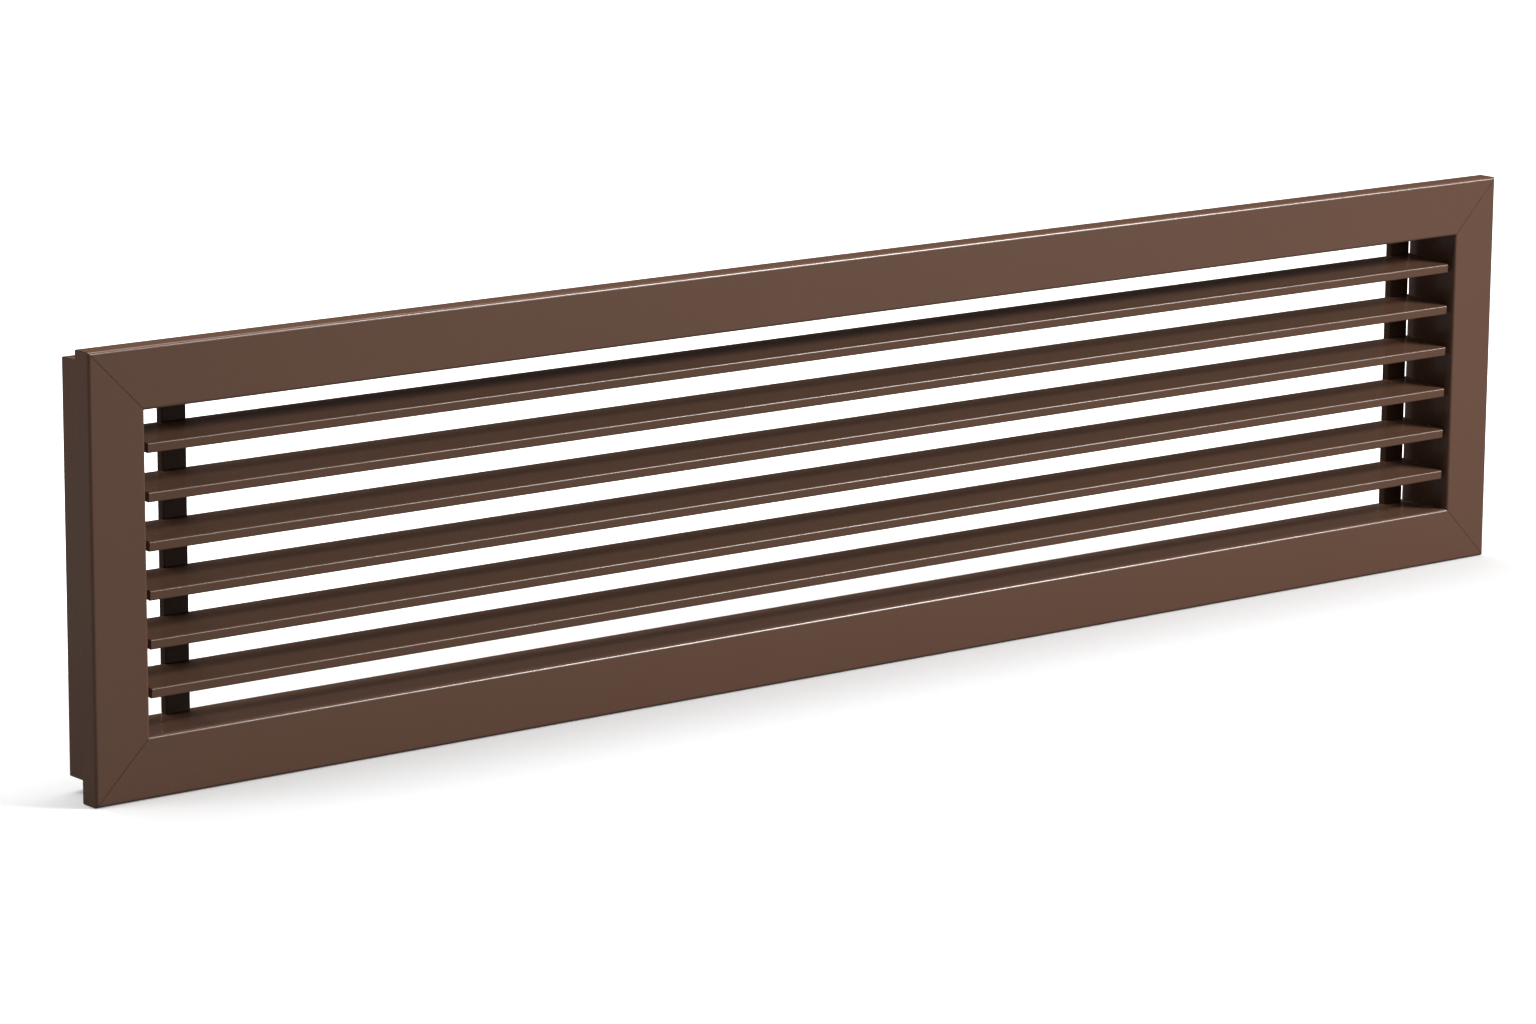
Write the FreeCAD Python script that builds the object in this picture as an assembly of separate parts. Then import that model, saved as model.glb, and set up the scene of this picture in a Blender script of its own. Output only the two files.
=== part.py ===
import FreeCAD, Part
import math
import os

from FreeCAD import Vector

# A linear bar grille for a wall opening: a mitred frame of hollow section, inclined
# fixed blades, and two upright bars that carry the blades at the back.
# Millimetres and degrees. +Z is up and the face looks along -Y. The origin is the
# middle of the grille, in the plane where the rear edge of the lip meets the wall.

# Outer size of the lip
overall_width = 850.0
overall_height = 200.0
lip_depth = 11.0

# Frame section, measured inward from the outer edge and back from the face
border = 28.0
neck_inset = 7.0
frame_depth = 33.0
face_wall = 1.8
frame_wall = 1.6
web_setback = 19.0
edge_radius = 1.5
arris_radius = 0.4
mitre_gap = 0.2

# Blades
blade_pitch = 21.7
blade_thickness = 4.6
blade_angle = 5.0
blade_setback = 2.0
blade_end_gap = 2.5
blade_nose_radius = 0.7
blade_row_rise = 0.45

# Support bars, with each inset measured from the side of the opening
bar_width = 12.5
bar_thickness = 4.5
bar_chamfer = 0.4
left_bar_inset = 26.4
right_bar_inset = 4.7
tail_seat = 1.5
notch_clearance = 0.1

# Corner keys
key_leg_length = 42.0
key_clearance = 0.15
key_wall = 3.0
key_lead_in = 2.0

# Screws that hold the support bars to the rails
bar_screw_diameter = 2.5
bar_screw_head_diameter = 4.5
bar_screw_head_height = 1.6
bar_screw_grip = 8.4
driver_notch_width = 4.6

# Countersunk screws that hold the blades to the support bars
blade_screw_diameter = 2.5
blade_screw_head_diameter = 4.7
blade_screw_head_height = 1.3
blade_screw_length = 10.0

# Room round each screw in the wall or bar that it passes through
screw_hole_clearance = 0.1

# How far a cutting shape runs past what it cuts, and the shortest edge worth drawing
overrun = 1.0
shortest_edge = 0.0001

# Planes of the section, from front to back
face_y = -lip_depth
web_y = face_y + web_setback
back_y = face_y + frame_depth
bar_front_y = back_y - bar_thickness
bar_middle_y = back_y - bar_thickness / 2

# The opening inside the frame
opening_width = overall_width - 2 * border
opening_height = overall_height - 2 * border

# Blades reach from behind the face to their seats in the bars
nose_y = face_y + blade_setback
slope = math.radians(blade_angle)
blade_chord = (bar_front_y + tail_seat - nose_y) / math.cos(slope)
blade_length = opening_width - 2 * blade_end_gap
blade_count = int(opening_height // blade_pitch)

# Middles of the two bars
bar_places = {
    "left": -opening_width / 2 + left_bar_inset + bar_width / 2,
    "right": opening_width / 2 - right_bar_inset - bar_width / 2,
}


def rounded_wire(corners):
    """Closed wire through (point, radius) corners, with an arc at each rounded one."""
    points = [point for point, radius in corners]
    stretches = []
    for index, (point, radius) in enumerate(corners):
        before = (point - points[index - 1]).normalize()
        after = (points[(index + 1) % len(points)] - point).normalize()
        half_turn = before.getAngle(after) / 2
        reach = radius * math.tan(half_turn)
        middle = point
        if radius > 0:
            inward = (after - before).normalize()
            middle = point + inward * radius * (1 / math.cos(half_turn) - 1)
        stretches.append((point - before * reach, middle, point + after * reach, radius))
    edges = []
    for index, (start, middle, end, radius) in enumerate(stretches):
        if radius > 0:
            edges.append(Part.Arc(start, middle, end).toShape())
        next_start = stretches[(index + 1) % len(stretches)][0]
        if end.distanceToPoint(next_start) > shortest_edge:
            edges.append(Part.LineSegment(end, next_start).toShape())
    return Part.Wire(edges)


def prism(corners, sweep):
    """Solid swept along a vector from an outline of (point, radius) corners."""
    return Part.Face(rounded_wire(corners)).extrude(sweep)


def frame_section(x):
    """Section of the frame at one X, with its outer edge at z = 0 and its inner one above."""
    lip_rear_y = face_y + lip_depth
    face_rear_y = face_y + face_wall
    web_rear_y = web_y + frame_wall
    neck_inner = neck_inset + frame_wall
    opening_inner = border - frame_wall
    outline = [
        (Vector(x, face_y, 0), edge_radius),
        (Vector(x, face_y, border), edge_radius),
        (Vector(x, back_y, border), arris_radius),
        (Vector(x, back_y, opening_inner), 0),
        (Vector(x, web_rear_y, opening_inner), 0),
        (Vector(x, web_rear_y, neck_inner), 0),
        (Vector(x, back_y, neck_inner), 0),
        (Vector(x, back_y, neck_inset), arris_radius),
        (Vector(x, face_rear_y, neck_inset), 0),
        (Vector(x, face_rear_y, frame_wall), 0),
        (Vector(x, lip_rear_y, frame_wall), 0),
        (Vector(x, lip_rear_y, 0), arris_radius),
    ]
    chamber = [
        (Vector(x, face_rear_y, neck_inner), 0),
        (Vector(x, face_rear_y, opening_inner), 0),
        (Vector(x, web_y, opening_inner), 0),
        (Vector(x, web_y, neck_inner), 0),
    ]
    return Part.Face(rounded_wire(outline)).cut(Part.Face(rounded_wire(chamber)))


def frame_member(length):
    """Length of frame along X with a mitre at each end, its outer edge at z = 0."""
    half = length / 2
    stock = frame_section(-half).extrude(Vector(length, 0, 0))
    trim = mitre_gap / 2 * math.sqrt(2)
    low_half = half - trim + overrun
    high_half = half - trim - border - overrun
    front_y = face_y - overrun
    between_mitres = [
        (Vector(-low_half, front_y, -overrun), 0),
        (Vector(low_half, front_y, -overrun), 0),
        (Vector(high_half, front_y, border + overrun), 0),
        (Vector(-high_half, front_y, border + overrun), 0),
    ]
    return stock.common(prism(between_mitres, Vector(0, frame_depth + 2 * overrun, 0)))


def turned(shape, degrees):
    """Copy of a shape turned about the Y axis."""
    copy = shape.copy()
    copy.rotate(Vector(0, 0, 0), Vector(0, 1, 0), degrees)
    return copy


def bottom_screw_cuts(bar_x):
    """Hole through the sill wall, and the driver's notch in the neck wall below it."""
    sill_z = -overall_height / 2 + border
    neck_z = -overall_height / 2 + neck_inset
    hole = Part.makeCylinder(
        bar_screw_diameter / 2 + screw_hole_clearance,
        frame_wall + 2 * overrun,
        Vector(bar_x, bar_middle_y, sill_z - frame_wall - overrun),
    )
    half_notch = driver_notch_width / 2
    notch_floor_y = bar_middle_y - half_notch
    notch = prism(
        [
            (Vector(bar_x - half_notch, notch_floor_y, neck_z - overrun), half_notch),
            (Vector(bar_x + half_notch, notch_floor_y, neck_z - overrun), half_notch),
            (Vector(bar_x + half_notch, back_y + overrun, neck_z - overrun), 0),
            (Vector(bar_x - half_notch, back_y + overrun, neck_z - overrun), 0),
        ],
        Vector(0, 0, frame_wall + 2 * overrun),
    )
    return hole.fuse(notch)


def rail(at_top):
    """Long member of the frame, at the bottom or turned over to the top."""
    member = frame_member(overall_width)
    member.translate(Vector(0, 0, -overall_height / 2))
    for bar_x in bar_places.values():
        member = member.cut(bottom_screw_cuts(-bar_x if at_top else bar_x))
    return turned(member, 180) if at_top else member


def stile(on_left):
    """Short upright member of the frame."""
    member = frame_member(overall_height)
    member.translate(Vector(0, 0, -overall_width / 2))
    return turned(member, 90 if on_left else -90)


def corner_key(side, level):
    """L-shaped key in the chambers of one corner. side and level are -1 or +1."""
    chamber_width = border - neck_inset - 2 * frame_wall
    leg_width = chamber_width - 2 * key_clearance
    inset = neck_inset + frame_wall + key_clearance
    front_y = face_y + face_wall + key_clearance
    thickness = web_y - key_clearance - front_y

    def at(along_rail, along_stile):
        x = side * (overall_width / 2 - inset - along_rail)
        z = level * (overall_height / 2 - inset - along_stile)
        return Vector(x, front_y, z)

    tapered = key_leg_length - key_lead_in
    legs = [
        at(key_lead_in, 0),
        at(tapered, 0),
        at(key_leg_length, key_lead_in),
        at(key_leg_length, leg_width - key_lead_in),
        at(tapered, leg_width),
        at(leg_width, leg_width),
        at(leg_width, tapered),
        at(leg_width - key_lead_in, key_leg_length),
        at(key_lead_in, key_leg_length),
        at(0, tapered),
        at(0, key_lead_in),
    ]
    key = prism([(point, 0) for point in legs], Vector(0, thickness, 0))
    near = leg_width + key_wall
    far = key_leg_length - key_wall
    rail_window = [at(near, key_wall), at(far, key_wall),
                   at(far, leg_width - key_wall), at(near, leg_width - key_wall)]
    stile_window = [at(key_wall, near), at(key_wall, far),
                    at(leg_width - key_wall, far), at(leg_width - key_wall, near)]
    for window in (rail_window, stile_window):
        key = key.cut(prism([(point, 0) for point in window], Vector(0, thickness, 0)))
    return key


def nose_top(index):
    """Height of the top of one blade's nose, with blade 0 the highest."""
    place = (blade_count - 1) / 2 - index
    return blade_row_rise + place * blade_pitch + blade_thickness / 2


def on_blade(index, x, along, down):
    """Point on a blade, given along its chord and down from its upper face."""
    y = nose_y + along * math.cos(slope) + down * math.sin(slope)
    z = nose_top(index) + along * math.sin(slope) - down * math.cos(slope)
    return Vector(x, y, z)


def blade(index):
    """One inclined blade, with a slot along its tail that its two screws bite into."""
    x = -blade_length / 2
    section = [
        (on_blade(index, x, 0, 0), blade_nose_radius),
        (on_blade(index, x, blade_chord, 0), 0),
        (on_blade(index, x, blade_chord, blade_thickness), 0),
        (on_blade(index, x, 0, blade_thickness), blade_nose_radius),
    ]
    tip = blade_screw_head(index, x) - Vector(0, blade_screw_length, 0)
    slot = Part.makeBox(
        blade_length,
        blade_screw_length,
        blade_screw_diameter,
        tip - Vector(0, 0, blade_screw_diameter / 2),
    )
    return prism(section, Vector(blade_length, 0, 0)).cut(slot)


def blade_screw_head(index, x):
    """Middle of a blade screw's head, on the back of a bar and in line with the tail."""
    tail = on_blade(index, x, blade_chord, blade_thickness / 2)
    tip_y = back_y - blade_screw_length
    drop = (tail.y - tip_y) / 2 * math.tan(slope)
    return Vector(x, back_y, tail.z - drop)


def blade_screw_hole(index, bar_x, radius):
    """Straight hole along a blade screw, as deep as the screw is long."""
    start = blade_screw_head(index, bar_x)
    return Part.makeCylinder(radius, blade_screw_length, start, Vector(0, -1, 0))


def blade_screw_cone(index, bar_x):
    """Countersunk head of a blade screw."""
    return Part.makeCone(
        blade_screw_head_diameter / 2,
        blade_screw_diameter / 2,
        blade_screw_head_height,
        blade_screw_head(index, bar_x),
        Vector(0, -1, 0),
    )


def tail_notch(index, bar_x):
    """Notch that seats one blade's tail in a bar, its floor flat on the tail."""
    x = bar_x - bar_width / 2 - overrun
    start = blade_chord - 2 * tail_seat - overrun
    low = blade_thickness + notch_clearance
    corners = [
        (on_blade(index, x, start, -notch_clearance), 0),
        (on_blade(index, x, blade_chord, -notch_clearance), 0),
        (on_blade(index, x, blade_chord, low), 0),
        (on_blade(index, x, start, low), 0),
    ]
    return prism(corners, Vector(bar_width + 2 * overrun, 0, 0))


def support_bar(bar_x):
    """Upright flat bar between the rails, notched for the blades and drilled."""
    wide = bar_width / 2
    narrow = wide - bar_chamfer
    low_z = -opening_height / 2
    outline = [
        (-narrow, bar_front_y),
        (narrow, bar_front_y),
        (wide, bar_front_y + bar_chamfer),
        (wide, back_y - bar_chamfer),
        (narrow, back_y),
        (-narrow, back_y),
        (-wide, back_y - bar_chamfer),
        (-wide, bar_front_y + bar_chamfer),
    ]
    corners = [(Vector(bar_x + across, y, low_z), 0) for across, y in outline]
    bar = prism(corners, Vector(0, 0, opening_height))
    hole_radius = blade_screw_diameter / 2 + screw_hole_clearance
    for index in range(blade_count):
        bar = bar.cut(tail_notch(index, bar_x))
        bar = bar.cut(blade_screw_hole(index, bar_x, hole_radius))
        bar = bar.cut(blade_screw_cone(index, bar_x))
    for level in (-1, 1):
        end = Vector(bar_x, bar_middle_y, level * opening_height / 2)
        into_bar = Vector(0, 0, -level)
        bar = bar.cut(Part.makeCylinder(bar_screw_diameter / 2, bar_screw_grip, end, into_bar))
    return bar


def bar_screw(bar_x, level):
    """Cheese-head screw through a rail's inner wall into the end of a bar."""
    head_z = level * (opening_height / 2 + frame_wall)
    head_base = Vector(bar_x, bar_middle_y, head_z)
    outward = Vector(0, 0, level)
    shank_length = bar_screw_grip + frame_wall
    shank = Part.makeCylinder(bar_screw_diameter / 2, shank_length, head_base, outward * -1)
    head = Part.makeCylinder(
        bar_screw_head_diameter / 2, bar_screw_head_height, head_base, outward)
    return shank.fuse(head).removeSplitter()


def blade_screw(index, bar_x):
    """Countersunk screw through a bar into the tail of one blade."""
    shank = blade_screw_hole(index, bar_x, blade_screw_diameter / 2)
    return shank.fuse(blade_screw_cone(index, bar_x)).removeSplitter()


def grille():
    """Every piece of the grille by name."""
    pieces = {
        "top_rail": rail(at_top=True),
        "bottom_rail": rail(at_top=False),
        "left_stile": stile(on_left=True),
        "right_stile": stile(on_left=False),
    }
    sides = {"left": -1, "right": 1}
    levels = {"top": 1, "bottom": -1}
    for index in range(blade_count):
        pieces[f"blade_{index + 1}"] = blade(index)
    for side, bar_x in bar_places.items():
        pieces[f"{side}_support_bar"] = support_bar(bar_x)
        screws = [blade_screw(index, bar_x) for index in range(blade_count)]
        pieces[f"{side}_blade_screws"] = Part.makeCompound(screws)
        for level, sign in levels.items():
            pieces[f"{level}_{side}_corner_key"] = corner_key(sides[side], sign)
            pieces[f"{level}_{side}_bar_screw"] = bar_screw(bar_x, sign)
    return pieces


os.makedirs("parts", exist_ok=True)
for name, shape in grille().items():
    shape.exportStep(f"parts/{name}.step")
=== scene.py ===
import math

import bmesh
import bpy
from mathutils import Matrix, Vector
from mathutils.geometry import tessellate_polygon


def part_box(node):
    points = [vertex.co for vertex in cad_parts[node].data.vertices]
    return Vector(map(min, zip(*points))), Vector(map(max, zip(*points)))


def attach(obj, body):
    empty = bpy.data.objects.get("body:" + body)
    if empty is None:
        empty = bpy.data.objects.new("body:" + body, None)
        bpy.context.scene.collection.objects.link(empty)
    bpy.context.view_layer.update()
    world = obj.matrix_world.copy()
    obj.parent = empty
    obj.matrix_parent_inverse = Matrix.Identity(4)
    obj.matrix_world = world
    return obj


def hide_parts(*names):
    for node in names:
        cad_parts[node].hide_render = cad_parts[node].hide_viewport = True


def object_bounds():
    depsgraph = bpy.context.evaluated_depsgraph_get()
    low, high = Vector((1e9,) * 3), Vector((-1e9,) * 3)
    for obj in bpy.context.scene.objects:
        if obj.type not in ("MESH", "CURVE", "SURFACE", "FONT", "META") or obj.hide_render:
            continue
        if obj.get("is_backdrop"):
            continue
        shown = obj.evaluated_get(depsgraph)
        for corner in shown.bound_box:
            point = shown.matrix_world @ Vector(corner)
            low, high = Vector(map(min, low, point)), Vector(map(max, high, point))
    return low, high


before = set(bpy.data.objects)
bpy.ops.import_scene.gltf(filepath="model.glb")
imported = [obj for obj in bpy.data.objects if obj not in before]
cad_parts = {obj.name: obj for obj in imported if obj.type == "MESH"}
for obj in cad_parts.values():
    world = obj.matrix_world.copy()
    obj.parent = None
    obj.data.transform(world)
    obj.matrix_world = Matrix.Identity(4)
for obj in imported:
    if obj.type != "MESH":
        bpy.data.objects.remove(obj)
cad_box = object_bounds()

# Looks of a powder-coated linear bar grille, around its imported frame. Metres, with
# +Z up and the face looking along -Y. Outer sizes are read from the frame, and the
# sizes inside a section are the ones that the frame was made with.
mm = 0.001

# Section of the frame members
lip_width = 7.0 * mm
face_wall = 1.8 * mm
frame_wall = 1.6 * mm
web_setback = 19.0 * mm
edge_radius = 1.5 * mm
arris_radius = 0.4 * mm
mitre_gap = 0.2 * mm
mitre_bevel = 0.05 * mm

# Blades
blade_angle = math.radians(5.0)
blade_thickness = 4.6 * mm
blade_setback = 2.0 * mm
blade_nose_radius = 0.7 * mm
blade_bevel = 0.2 * mm

# Support bars
tail_seat = 1.5 * mm
notch_clearance = 0.1 * mm
bar_bevel = 0.4 * mm

# Screws
bar_screw_diameter = 2.5 * mm
bar_screw_head_diameter = 4.5 * mm
bar_screw_head_height = 1.6 * mm
driver_notch_width = 4.6 * mm
blade_screw_diameter = 2.5 * mm
blade_screw_head_diameter = 4.7 * mm
blade_screw_head_height = 1.3 * mm
blade_screw_length = 10.0 * mm
blade_screw_point_diameter = blade_screw_diameter / 4
screw_hole_clearance = 0.1 * mm
recess_span = 2.6 * mm
recess_foot = 1.3 * mm
recess_width = 0.6 * mm
recess_depth = 1.1 * mm
recess_turn = math.radians(37)
slot_width = 0.8 * mm
slot_depth = 0.8 * mm
screw_bevel = 0.06 * mm

# Faces in a quarter turn of a rounded edge, and in a full turn of a screw
arc_steps = 8
turn_steps = 48

# How far a cutting shape runs past what it cuts, and the share of a notch's half width
# that each of its two arcs takes, so that the arcs don't meet in one point
overrun = 1.0 * mm
notch_arc_share = 0.999

# The photograph's frame, and the camera that it was taken with
photo_width = 1536
photo_height = 1024
focal_pixels = 5602.5
camera_yaw = math.radians(38.652)
camera_pitch = math.radians(11.999)
camera_roll = math.radians(0.4)
camera_distance = 2.65674
face_middle_pixel = (858.93, 464.69)
sensor_width_mm = 36.0

# Powder coat: colours in linear light, then its tone, sheen, orange peel and grain, each
# with a scale in features a metre, a detail in octaves, and a change or depth
frame_colour = (0.158, 0.081, 0.052)
blade_colour = (0.148, 0.076, 0.047)
# The bars' colour is far darker than the frame's coat: painted shade for their place deep behind the
# blades.
bar_colour_with_painted_shade = (0.06, 0.026, 0.012)
frame_roughness = 0.23
blade_roughness = 0.25
bar_roughness = 0.35
coat_specular = 0.55
bar_specular = 0.25
coat_tone_scale = 9
coat_tone_detail = 4
coat_tone_change = 0.012
coat_sheen_scale = 40
coat_sheen_detail = 3
coat_sheen_change = 0.015
coat_peel_scale = 650
coat_peel_detail = 1
coat_peel_depth = 0.004 * mm
coat_grain_scale = 2600
coat_grain_detail = 2
coat_grain_depth = 0.0015 * mm

# Bare metal
key_colour = (0.6, 0.6, 0.61)
screw_colour = (0.5, 0.49, 0.47)
key_roughness = 0.38
screw_roughness = 0.32
metal_tone_change = 0.15
metal_sheen_change = 0.2
metal_grain_scale = 1800
metal_grain_detail = 4
metal_grain_depth = 0.004 * mm

# Most of a noise texture's values lie between these two
noise_low = 0.3
noise_high = 0.7

# Floor and background. The lift is light that the camera alone sees on the floor. It
# grows from its near to its far level with the distance from a point in front of the
# grille, where a length along X counts for less than one along Y.
white = (1, 1, 1)
floor_size = 60
floor_gap = 0.2 * mm
floor_seen_colour = (0.88, 0.88, 0.88)
floor_lit_colour = (0.15, 0.15, 0.15)
floor_near_lift = 0.07
floor_far_lift = 1.0
floor_near_reach = 0.15
floor_far_reach = 0.45
floor_reach_along = 0.35
floor_reach_front = 0.12
world_level = 0.03

# Softboxes, in degrees, metres and watts
lamps = [
    dict(name="key", azimuth=47, elevation=31, distance=4.5, width=1.3, height=1.3, power=192),
    dict(name="right_fill", azimuth=35, elevation=18, distance=1.4, width=0.8, height=0.8, power=3),
    dict(name="left", azimuth=-99, elevation=48, distance=2.5, width=1.2, height=1.2, power=20),
    dict(name="top", azimuth=180, elevation=78, distance=2.2, width=2.4, height=1.4, power=34),
    dict(name="back", azimuth=180, elevation=12, distance=4.5, width=1.6, height=1.2, power=85),
]

# Extents read from the frame
rail_low, rail_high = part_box("top_rail")
stile_low, stile_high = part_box("left_stile")
face_y = rail_low.y
back_y = rail_high.y
half_height = rail_high.z
half_width = -stile_low.x
border = rail_high.z - rail_low.z
web_y = face_y + web_setback
opening_half_height = half_height - border
nose_y = face_y + blade_setback
screw_tip_y = back_y - blade_screw_length
blade_names = sorted(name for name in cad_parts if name.startswith("blade_"))
bar_names = ("left_support_bar", "right_support_bar")


def smooth_mesh(name, verts, faces):
    """New mesh object with smooth shading and its normals pointing outward."""
    mesh = bpy.data.meshes.new(name)
    mesh.from_pydata(verts, [], faces)
    work = bmesh.new()
    work.from_mesh(mesh)
    bmesh.ops.recalc_face_normals(work, faces=work.faces)
    work.to_mesh(mesh)
    work.free()
    mesh.shade_smooth()
    piece = bpy.data.objects.new(name, mesh)
    bpy.context.scene.collection.objects.link(piece)
    return piece


def settle(piece):
    """Turns a piece's modifiers into its mesh."""
    bpy.context.view_layer.update()
    evaluated = piece.evaluated_get(bpy.context.evaluated_depsgraph_get())
    mesh = bpy.data.meshes.new_from_object(evaluated)
    piece.modifiers.clear()
    piece.data = mesh
    return piece


def soften(piece, width, segments=3, angle=math.radians(40)):
    """Rounds every sharp edge of a piece by a small width."""
    bevel = piece.modifiers.new("soften", "BEVEL")
    bevel.width = width
    bevel.segments = segments
    bevel.limit_method = "ANGLE"
    bevel.angle_limit = angle
    bevel.miter_outer = "MITER_ARC"
    return settle(piece)


def even_out(piece, angle=math.radians(50)):
    """Gives flat faces flat shading up to the rounded edges beside them."""
    piece.data.shade_smooth()
    piece.data.set_sharp_from_angle(angle=angle)
    weighted = piece.modifiers.new("even", "WEIGHTED_NORMAL")
    weighted.keep_sharp = True
    return settle(piece)


def cut(piece, cutter):
    """Takes a cutting shape out of a piece, and removes that shape."""
    difference = piece.modifiers.new("cut", "BOOLEAN")
    difference.operation = "DIFFERENCE"
    difference.solver = "EXACT"
    difference.object = cutter
    settle(piece)
    bpy.data.objects.remove(cutter)
    return piece


def joined(name, pieces):
    """One mesh object from several."""
    verts, faces = [], []
    for piece in pieces:
        start = len(verts)
        verts += [v.co.copy() for v in piece.data.vertices]
        faces += [[start + i for i in polygon.vertices] for polygon in piece.data.polygons]
        bpy.data.objects.remove(piece)
    return smooth_mesh(name, verts, faces)


def rounded_outline(corners):
    """Points of a closed plane outline through (x, y, radius) corners."""
    points = []
    for index, (x, y, radius) in enumerate(corners):
        corner = Vector((x, y))
        if radius == 0:
            points.append(corner)
            continue
        before = (corner - Vector(corners[index - 1][:2])).normalized()
        after = (Vector(corners[(index + 1) % len(corners)][:2]) - corner).normalized()
        turn = before.angle(after)
        reach = radius * math.tan(turn / 2)
        start = corner - before * reach
        middle = start + (after - before * math.cos(turn)).normalized() * radius
        spoke = start - middle
        sense = 1 if before.x * after.y - before.y * after.x > 0 else -1
        steps = max(2, round(arc_steps * turn / (math.pi / 2)))
        for step in range(steps + 1):
            points.append(middle + Matrix.Rotation(sense * turn * step / steps, 2) @ spoke)
    return points


def prism(name, outline, start, end):
    """Solid between two copies of an outline, placed by the functions start and end."""
    count = len(outline)
    verts = [start(p) for p in outline] + [end(p) for p in outline]
    faces = [[i, (i + 1) % count, count + (i + 1) % count, count + i] for i in range(count)]
    faces.append(list(range(count)))
    faces.append([count + i for i in range(count)])
    return smooth_mesh(name, verts, faces)


def lathe(name, profile, place):
    """Solid turned from (radius, along) points whose first and last lie on the axis."""
    verts = [place(Vector((0, 0, profile[0][1])))]
    rings = profile[1:-1]
    for radius, along in rings:
        for step in range(turn_steps):
            turn = 2 * math.pi * step / turn_steps
            verts.append(place(Vector((radius * math.cos(turn), radius * math.sin(turn), along))))
    verts.append(place(Vector((0, 0, profile[-1][1]))))
    last = len(verts) - 1
    faces = []
    for step in range(turn_steps):
        following = (step + 1) % turn_steps
        faces.append([0, 1 + following, 1 + step])
        for ring in range(len(rings) - 1):
            low = 1 + ring * turn_steps
            high = low + turn_steps
            faces.append([low + step, low + following, high + following, high + step])
        top = 1 + (len(rings) - 1) * turn_steps
        faces.append([top + step, top + following, last])
    return smooth_mesh(name, verts, faces)


def frame_outlines():
    """Outline of the frame's section and of its chamber, as (depth, inward) points."""
    face_rear_y = face_y + face_wall
    web_rear_y = web_y + frame_wall
    neck_inner = lip_width + frame_wall
    opening_inner = border - frame_wall
    outline = [
        (face_y, 0, edge_radius),
        (face_y, border, edge_radius),
        (back_y, border, arris_radius),
        (back_y, opening_inner, arris_radius),
        (web_rear_y, opening_inner, arris_radius),
        (web_rear_y, neck_inner, arris_radius),
        (back_y, neck_inner, arris_radius),
        (back_y, lip_width, arris_radius),
        (face_rear_y, lip_width, arris_radius),
        (face_rear_y, frame_wall, arris_radius),
        (0, frame_wall, arris_radius),
        (0, 0, arris_radius),
    ]
    chamber = [
        (face_rear_y, neck_inner, arris_radius),
        (face_rear_y, opening_inner, arris_radius),
        (web_y, opening_inner, arris_radius),
        (web_y, neck_inner, arris_radius),
    ]
    return rounded_outline(outline), rounded_outline(chamber)


def frame_member(name, half_length, place):
    """Mitred length of the frame's section. place turns (along, depth, inward) to a point."""
    loops = frame_outlines()
    trim = mitre_gap / 2 * math.sqrt(2)
    verts, faces = [], []
    for loop in loops:
        first = len(verts)
        count = len(loop)
        for side in (-1, 1):
            verts += [place(side * (half_length - trim - p.y), p.x, p.y) for p in loop]
        for i in range(count):
            after = (i + 1) % count
            faces.append([first + i, first + after, first + count + after, first + count + i])
    flat = [[Vector((p.x, p.y, 0)) for p in loop] for loop in loops]
    outer, inner = len(loops[0]), len(loops[1])
    for corners in tessellate_polygon(flat):
        for side in (0, 1):
            ids = [i + side * outer if i < outer else i + outer + side * inner for i in corners]
            faces.append(ids)
    return smooth_mesh(name, verts, faces)


def driver_notch(bar, level):
    """Cutting shape for the notch that lets a driver reach the screw in a bar's end."""
    low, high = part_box(bar)
    middle_x = (low.x + high.x) / 2
    middle_y = (low.y + high.y) / 2
    half_notch = driver_notch_width / 2
    arc = half_notch * notch_arc_share
    outline = rounded_outline([
        (middle_x - half_notch, middle_y - half_notch, arc),
        (middle_x + half_notch, middle_y - half_notch, arc),
        (middle_x + half_notch, back_y + overrun, 0),
        (middle_x - half_notch, back_y + overrun, 0),
    ])
    near = level * (half_height - lip_width + overrun)
    far = level * (half_height - lip_width - frame_wall - overrun)
    return prism(
        "notch", outline,
        lambda p: Vector((p.x, p.y, near)),
        lambda p: Vector((p.x, p.y, far)))


def rail(name, level):
    """Top or bottom member of the frame, with a driver's notch at each bar screw."""
    piece = frame_member(
        name, half_width, lambda along, y, inward: Vector((along, y, level * (half_height - inward))))
    for bar in bar_names:
        cut(piece, driver_notch(bar, level))
    return soften(piece, mitre_bevel)


def stile(name, side):
    """Left or right member of the frame."""
    piece = frame_member(
        name, half_height, lambda along, y, inward: Vector((side * (half_width - inward), y, along)))
    return soften(piece, mitre_bevel)


def blade_lines(node):
    """(nose top height, chord) of a blade, read from its box and the bar that it reaches."""
    bar_low, bar_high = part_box("left_support_bar")
    chord = (bar_low.y + tail_seat - nose_y) / math.cos(blade_angle)
    nose_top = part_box(node)[1].z - chord * math.sin(blade_angle)
    return nose_top, chord


def on_blade(nose_top, along, down):
    """(y, z) of a point given along a blade's chord and down from its upper face."""
    y = nose_y + along * math.cos(blade_angle) + down * math.sin(blade_angle)
    z = nose_top + along * math.sin(blade_angle) - down * math.cos(blade_angle)
    return y, z


def screw_height(node):
    """Height of the screws that hold a blade's tail."""
    nose_top, chord = blade_lines(node)
    tail_y, tail_z = on_blade(nose_top, chord, blade_thickness / 2)
    return tail_z - (tail_y - screw_tip_y) / 2 * math.tan(blade_angle)


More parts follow.
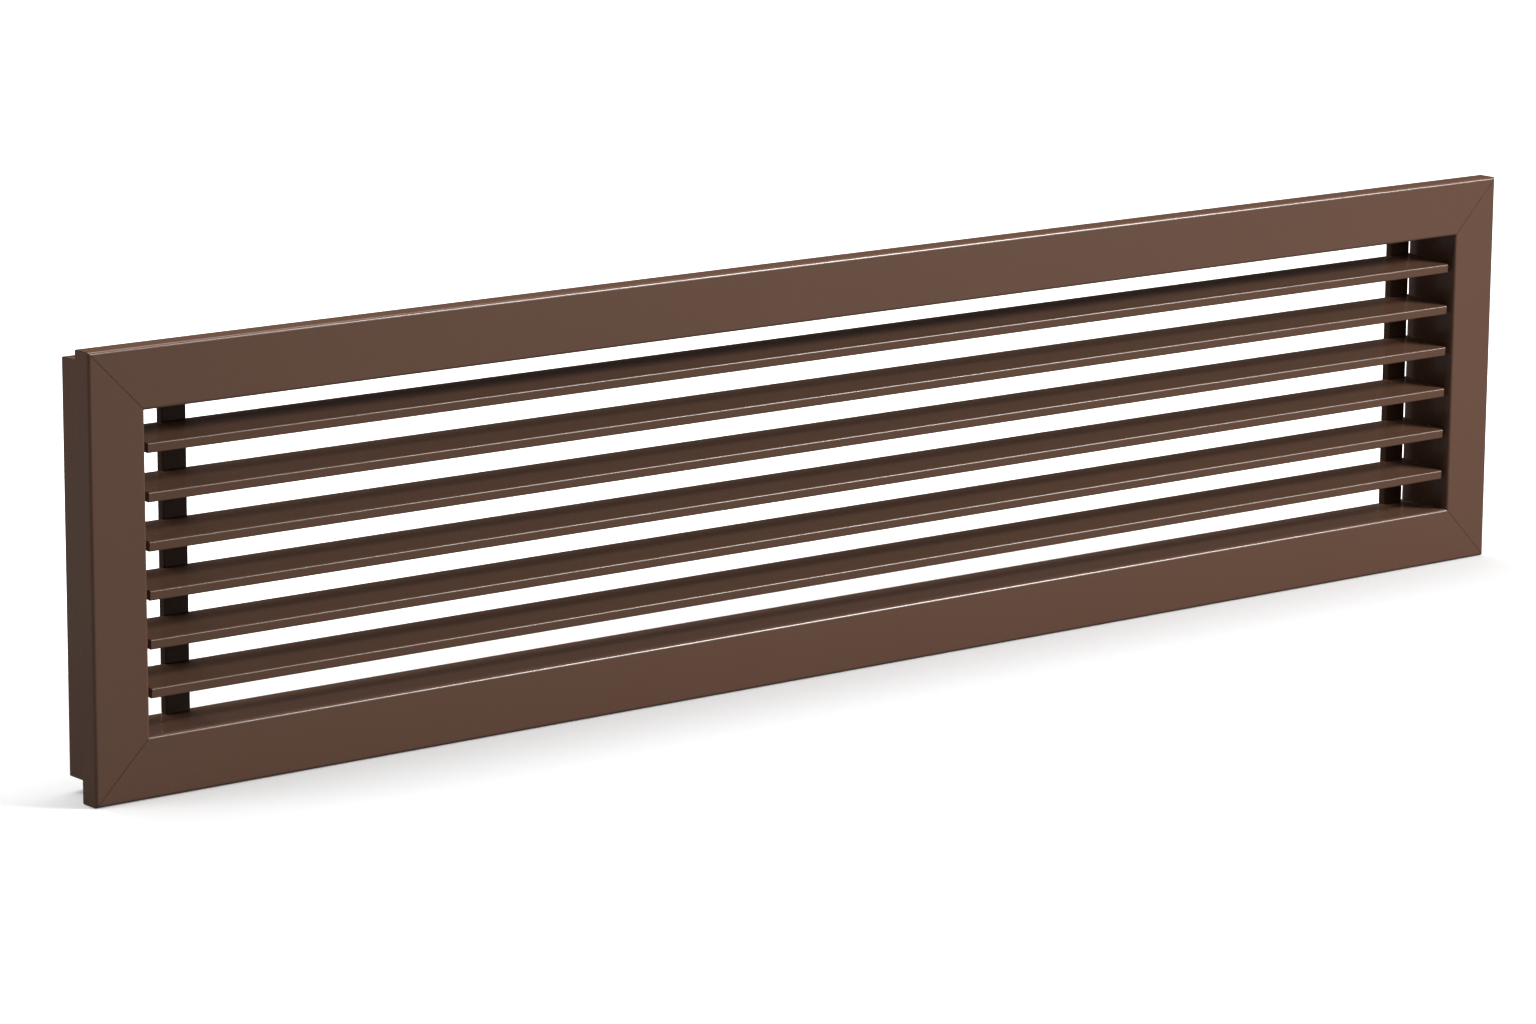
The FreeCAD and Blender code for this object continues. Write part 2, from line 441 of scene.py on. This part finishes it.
def blade(name, node):
    """Inclined blade with a rounded nose and the slot that its screws bite into."""
    low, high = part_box(node)
    nose_top, chord = blade_lines(node)

    def tail_at(z):
        down = (nose_top + chord * math.sin(blade_angle) - z) / math.cos(blade_angle)
        return on_blade(nose_top, chord, down)[0], z, 0

    slot_top = screw_height(node) + blade_screw_diameter / 2
    slot_bottom = slot_top - blade_screw_diameter
    outline = rounded_outline([
        (*on_blade(nose_top, 0, 0), blade_nose_radius),
        (*on_blade(nose_top, chord, 0), 0),
        tail_at(slot_top),
        (screw_tip_y, slot_top, 0),
        (screw_tip_y, slot_bottom, 0),
        tail_at(slot_bottom),
        (*on_blade(nose_top, chord, blade_thickness), 0),
        (*on_blade(nose_top, 0, blade_thickness), blade_nose_radius),
    ])
    piece = prism(
        name, outline,
        lambda p: Vector((low.x, p.x, p.y)),
        lambda p: Vector((high.x, p.x, p.y)))
    return soften(piece, blade_bevel)


def turned_about_y(x, z):
    """Place function for a lathe profile that runs forward from the back of a bar."""
    return lambda p: Vector((x + p.x, back_y - p.z, z + p.y))


def screw_hole(x, z):
    """Countersunk hole through a bar for a blade screw."""
    radius = blade_screw_diameter / 2 + screw_hole_clearance
    head = blade_screw_head_diameter / 2
    flare = head / blade_screw_head_height * overrun / 2
    profile = [
        (0, -overrun / 2),
        (head + flare, -overrun / 2),
        (radius, blade_screw_head_height),
        (radius, blade_screw_length),
        (0, blade_screw_length),
    ]
    return lathe("hole", profile, turned_about_y(x, z))


def support_bar(name, node):
    """Upright flat bar, notched for the blades' tails and countersunk for their screws."""
    low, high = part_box(node)
    middle_x = (low.x + high.x) / 2
    corners = [(back_y, low.z), (back_y, high.z), (low.y, high.z)]
    for blade_name in blade_names:
        nose_top, chord = blade_lines(blade_name)
        for down, inward in ((-notch_clearance, True), (blade_thickness + notch_clearance, False)):
            along = (low.y - nose_y - down * math.sin(blade_angle)) / math.cos(blade_angle)
            mouth = on_blade(nose_top, along, down)
            floor = on_blade(nose_top, chord, down)
            corners += [mouth, floor] if inward else [floor, mouth]
    corners.append((low.y, low.z))
    outline = [Vector(corner) for corner in corners]
    piece = soften(prism(
        name, outline,
        lambda p: Vector((low.x, p.x, p.y)),
        lambda p: Vector((high.x, p.x, p.y))), bar_bevel)
    holes = [screw_hole(middle_x, screw_height(blade_name)) for blade_name in blade_names]
    return cut(piece, joined("holes", holes))


def cross_recess(piece, place):
    """Cuts a tapered cross for the driver into the head of a screw."""
    outline = [
        Vector((-recess_span / 2, -recess_width)),
        Vector((recess_span / 2, -recess_width)),
        Vector((recess_foot / 2, recess_depth)),
        Vector((-recess_foot / 2, recess_depth)),
    ]
    wings = (
        lambda p, side: place(Vector((p.x, side, p.y))),
        lambda p, side: place(Vector((side, p.x, p.y))),
    )
    for wing in wings:
        cut(piece, prism(
            "wing", outline,
            lambda p: wing(p, -recess_width / 2),
            lambda p: wing(p, recess_width / 2)))
    return piece


def blade_screws(name, bar):
    """Six countersunk screws, each with its recess turned its own way."""
    low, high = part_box(bar)
    middle_x = (low.x + high.x) / 2
    shank = blade_screw_diameter / 2
    profile = [
        (0, 0),
        (blade_screw_head_diameter / 2, 0),
        (shank, blade_screw_head_height),
        (shank, blade_screw_length - shank),
        (blade_screw_point_diameter / 2, blade_screw_length),
        (0, blade_screw_length),
    ]
    screws = []
    for index, blade_name in enumerate(blade_names):
        place = turned_about_y(0, 0)
        screw = cross_recess(lathe("screw", profile, place), place)
        turn = Matrix.Rotation(index * recess_turn, 4, "Y")
        shift = Matrix.Translation(Vector((middle_x, 0, screw_height(blade_name))))
        screw.data.transform(shift @ turn)
        screws.append(screw)
    return soften(joined(name, screws), screw_bevel)


def bar_screw(name, node, bar, level):
    """Cheese-head screw with a slot, through a rail's inner wall into the end of a bar."""
    low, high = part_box(bar)
    middle = (low + high) / 2
    base = level * (opening_half_height + frame_wall)
    box_low, box_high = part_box(node)
    length = box_high.z - box_low.z - bar_screw_head_height
    head = bar_screw_head_diameter / 2
    shank = bar_screw_diameter / 2
    profile = [
        (0, bar_screw_head_height),
        (head, bar_screw_head_height),
        (head, 0),
        (shank, 0),
        (shank, -length),
        (0, -length),
    ]

    def place(p):
        return Vector((middle.x + p.x, middle.y + p.y, base + level * p.z))

    screw = lathe(name, profile, place)
    floor = bar_screw_head_height - slot_depth
    outline = [
        Vector((-slot_width / 2, floor)),
        Vector((slot_width / 2, floor)),
        Vector((slot_width / 2, bar_screw_head_height + slot_depth)),
        Vector((-slot_width / 2, bar_screw_head_height + slot_depth)),
    ]
    cut(screw, prism(
        "slot", outline,
        lambda p: place(Vector((-head * 2, p.x, p.y))),
        lambda p: place(Vector((head * 2, p.x, p.y)))))
    return soften(screw, screw_bevel)


def noise(tree, coordinates, scale, detail):
    """Noise factor of a material at a scale in features a metre."""
    texture = tree.nodes.new("ShaderNodeTexNoise")
    texture.inputs["Scale"].default_value = scale
    texture.inputs["Detail"].default_value = detail
    tree.links.new(coordinates, texture.inputs["Vector"])
    return texture.outputs["Fac"]


def spread(tree, factor, low, high):
    """Value that goes from low to high as a noise factor does."""
    span = tree.nodes.new("ShaderNodeMapRange")
    span.inputs["From Min"].default_value = noise_low
    span.inputs["From Max"].default_value = noise_high
    span.inputs["To Min"].default_value = low
    span.inputs["To Max"].default_value = high
    tree.links.new(factor, span.inputs["Value"])
    return span.outputs["Result"]


def between(tree, factor, low, high):
    """Colour between two colours by a factor."""
    mix = tree.nodes.new("ShaderNodeMix")
    mix.data_type = "RGBA"
    mix.inputs["A"].default_value = (*low, 1)
    mix.inputs["B"].default_value = (*high, 1)
    tree.links.new(factor, mix.inputs["Factor"])
    return mix.outputs["Result"]


def relief(tree, height, depth, base=None):
    """Bumps of a depth in metres, on top of other bumps."""
    bump = tree.nodes.new("ShaderNodeBump")
    bump.inputs["Strength"].default_value = 1
    bump.inputs["Distance"].default_value = depth
    tree.links.new(height, bump.inputs["Height"])
    if base is not None:
        tree.links.new(base, bump.inputs["Normal"])
    return bump.outputs["Normal"]


def new_material(name):
    """(material, node tree, shader, object coordinates)."""
    material = bpy.data.materials.new(name)
    material.use_nodes = True
    tree = material.node_tree
    place = tree.nodes.new("ShaderNodeTexCoord")
    return material, tree, tree.nodes["Principled BSDF"], place.outputs["Object"]


def powder_coat(name, colour, roughness, specular):
    """Satin powder coat, with its faint orange peel and fine grain."""
    material, tree, shader, place = new_material(name)
    darker = [value * (1 - coat_tone_change) for value in colour]
    lighter = [value * (1 + coat_tone_change) for value in colour]
    tone = spread(tree, noise(tree, place, coat_tone_scale, coat_tone_detail), 0, 1)
    tree.links.new(between(tree, tone, darker, lighter), shader.inputs["Base Color"])
    sheen = noise(tree, place, coat_sheen_scale, coat_sheen_detail)
    low, high = roughness - coat_sheen_change, roughness + coat_sheen_change
    tree.links.new(spread(tree, sheen, low, high), shader.inputs["Roughness"])
    peel = noise(tree, place, coat_peel_scale, coat_peel_detail)
    peel_bumps = relief(tree, peel, coat_peel_depth)
    grain = noise(tree, place, coat_grain_scale, coat_grain_detail)
    all_bumps = relief(tree, grain, coat_grain_depth, peel_bumps)
    tree.links.new(all_bumps, shader.inputs["Normal"])
    shader.inputs["Specular IOR Level"].default_value = specular
    return material


def bare_metal(name, colour, roughness):
    """Bare metal with a fine grain in its tone, its sheen and its surface."""
    material, tree, shader, place = new_material(name)
    grain = noise(tree, place, metal_grain_scale, metal_grain_detail)
    darker = [value * (1 - metal_tone_change) for value in colour]
    tree.links.new(between(tree, grain, darker, colour), shader.inputs["Base Color"])
    low, high = roughness * (1 - metal_sheen_change), roughness * (1 + metal_sheen_change)
    tree.links.new(spread(tree, grain, low, high), shader.inputs["Roughness"])
    tree.links.new(relief(tree, grain, metal_grain_depth), shader.inputs["Normal"])
    shader.inputs["Metallic"].default_value = 1
    return material


def dress(piece, node, material):
    """Finishes a piece and puts it in its CAD node's place."""
    even_out(piece)
    piece.data.materials.clear()
    piece.data.materials.append(material)
    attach(piece, "root")
    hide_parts(node)


def build_pieces():
    """Every visible piece of the grille in its finish."""
    frame_coat = powder_coat("frame_coat", frame_colour, frame_roughness, coat_specular)
    blade_coat = powder_coat("blade_coat", blade_colour, blade_roughness, coat_specular)
    # The bars' coat is darkened as painted shade for their place behind the blades.
    bar_coat_with_painted_shade = powder_coat("bar_coat_with_painted_shade", bar_colour_with_painted_shade, bar_roughness, bar_specular)
    key_metal = bare_metal("key_metal", key_colour, key_roughness)
    screw_metal = bare_metal("screw_metal", screw_colour, screw_roughness)
    for node, level in (("top_rail", 1), ("bottom_rail", -1)):
        dress(rail(f"{node}_piece", level), node, frame_coat)
    for node, side in (("left_stile", -1), ("right_stile", 1)):
        dress(stile(f"{node}_piece", side), node, frame_coat)
    for node in blade_names:
        dress(blade(f"{node}_piece", node), node, blade_coat)
    for side in ("left", "right"):
        bar = f"{side}_support_bar"
        dress(support_bar(f"{bar}_piece", bar), bar, bar_coat_with_painted_shade)
        screws = f"{side}_blade_screws"
        dress(blade_screws(f"{screws}_piece", bar), screws, screw_metal)
        for end, level in (("top", 1), ("bottom", -1)):
            screw = f"{end}_{side}_bar_screw"
            dress(bar_screw(f"{screw}_piece", screw, bar, level), screw, screw_metal)
            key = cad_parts[f"{end}_{side}_corner_key"]
            key.data.materials[0] = key_metal


def camera_ray_only(tree):
    """Factor that is 1 for what the camera sees directly and 0 for light."""
    path = tree.nodes.new("ShaderNodeLightPath")
    return path.outputs["Is Camera Ray"]


def floor_lift(tree):
    """Strength of the floor's lift, which grows away from the grille."""
    geometry = tree.nodes.new("ShaderNodeNewGeometry")
    squeeze = tree.nodes.new("ShaderNodeVectorMath")
    squeeze.operation = "MULTIPLY_ADD"
    squeeze.inputs[1].default_value = (floor_reach_along, 1, 0)
    squeeze.inputs[2].default_value = (0, floor_reach_front, 0)
    tree.links.new(geometry.outputs["Position"], squeeze.inputs[0])
    reach = tree.nodes.new("ShaderNodeVectorMath")
    reach.operation = "LENGTH"
    tree.links.new(squeeze.outputs["Vector"], reach.inputs[0])
    outward = tree.nodes.new("ShaderNodeMapRange")
    outward.interpolation_type = "SMOOTHSTEP"
    outward.inputs["From Min"].default_value = floor_near_reach
    outward.inputs["From Max"].default_value = floor_far_reach
    outward.inputs["To Min"].default_value = floor_near_lift
    outward.inputs["To Max"].default_value = floor_far_lift
    tree.links.new(reach.outputs["Value"], outward.inputs["Value"])
    return outward.outputs["Result"]


def floor_material():
    """Matt floor that is pale to the camera and dark to the light that it throws back."""
    material = bpy.data.materials.new("floor_white")
    material.use_nodes = True
    tree = material.node_tree
    tree.nodes.clear()
    seen = camera_ray_only(tree)
    matt = tree.nodes.new("ShaderNodeBsdfDiffuse")
    tree.links.new(between(tree, seen, floor_lit_colour, floor_seen_colour), matt.inputs["Color"])
    strength = tree.nodes.new("ShaderNodeMath")
    strength.operation = "MULTIPLY"
    tree.links.new(floor_lift(tree), strength.inputs[0])
    tree.links.new(seen, strength.inputs[1])
    glow = tree.nodes.new("ShaderNodeEmission")
    glow.inputs["Color"].default_value = (*white, 1)
    tree.links.new(strength.outputs[0], glow.inputs["Strength"])
    both = tree.nodes.new("ShaderNodeAddShader")
    tree.links.new(matt.outputs[0], both.inputs[0])
    tree.links.new(glow.outputs[0], both.inputs[1])
    output = tree.nodes.new("ShaderNodeOutputMaterial")
    tree.links.new(both.outputs[0], output.inputs["Surface"])
    return material


def studio_floor():
    """Pale floor under the grille that goes to white away from the shadow."""
    bpy.ops.mesh.primitive_plane_add(size=floor_size)
    floor = bpy.context.object
    floor.name = "floor"
    floor.location.z = -half_height - floor_gap
    floor.data.materials.append(floor_material())
    floor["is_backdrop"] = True


def studio_world():
    """Faint even light from all round, and white behind everything."""
    world = bpy.data.worlds.new("studio")
    bpy.context.scene.world = world
    world.use_nodes = True
    tree = world.node_tree
    level = (world_level, world_level, world_level)
    colour = between(tree, camera_ray_only(tree), level, white)
    tree.links.new(colour, tree.nodes["Background"].inputs["Color"])


def softbox(name, azimuth, elevation, distance, width, height, power):
    """Area lamp aimed at the grille. Azimuth 0 is in front, and 90 is at its right end."""
    turn, rise = math.radians(azimuth), math.radians(elevation)
    toward = Vector((math.sin(turn) * math.cos(rise), -math.cos(turn) * math.cos(rise), math.sin(rise)))
    data = bpy.data.lights.new(name, "AREA")
    data.shape = "RECTANGLE"
    data.size = width
    data.size_y = height
    data.energy = power
    lamp = bpy.data.objects.new(name, data)
    bpy.context.scene.collection.objects.link(lamp)
    lamp.location = toward * distance
    lamp.rotation_euler = toward.to_track_quat("Z", "Y").to_euler()


def photo_camera():
    """Camera that puts the middle of the face on its pixel of the photograph."""
    forward = Vector((
        math.sin(camera_yaw) * math.cos(camera_pitch),
        math.cos(camera_yaw) * math.cos(camera_pitch),
        -math.sin(camera_pitch),
    ))
    level_right = Vector((math.cos(camera_yaw), -math.sin(camera_yaw), 0))
    level_down = forward.cross(level_right)
    right = level_right * math.cos(camera_roll) - level_down * math.sin(camera_roll)
    down = level_right * math.sin(camera_roll) + level_down * math.cos(camera_roll)
    pixel_x, pixel_y = face_middle_pixel
    across = (pixel_x - photo_width / 2) / focal_pixels * camera_distance
    below = (pixel_y - photo_height / 2) / focal_pixels * camera_distance
    face_middle = Vector((0, face_y, 0))
    position = face_middle - right * across - down * below - forward * camera_distance
    data = bpy.data.cameras.new("photo_camera")
    data.sensor_width = sensor_width_mm
    data.lens = focal_pixels / photo_width * sensor_width_mm
    data.clip_end = floor_size
    camera = bpy.data.objects.new("photo_camera", data)
    bpy.context.scene.collection.objects.link(camera)
    axes = Matrix((right, -down, -forward)).transposed().to_4x4()
    camera.matrix_world = Matrix.Translation(position) @ axes
    bpy.context.scene.camera = camera


build_pieces()
studio_floor()
studio_world()
for lamp in lamps:
    softbox(**lamp)
photo_camera()
bpy.context.scene.view_settings.view_transform = "Standard"

finished_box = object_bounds()
[[list(corner) for corner in box] for box in (cad_box, finished_box)]
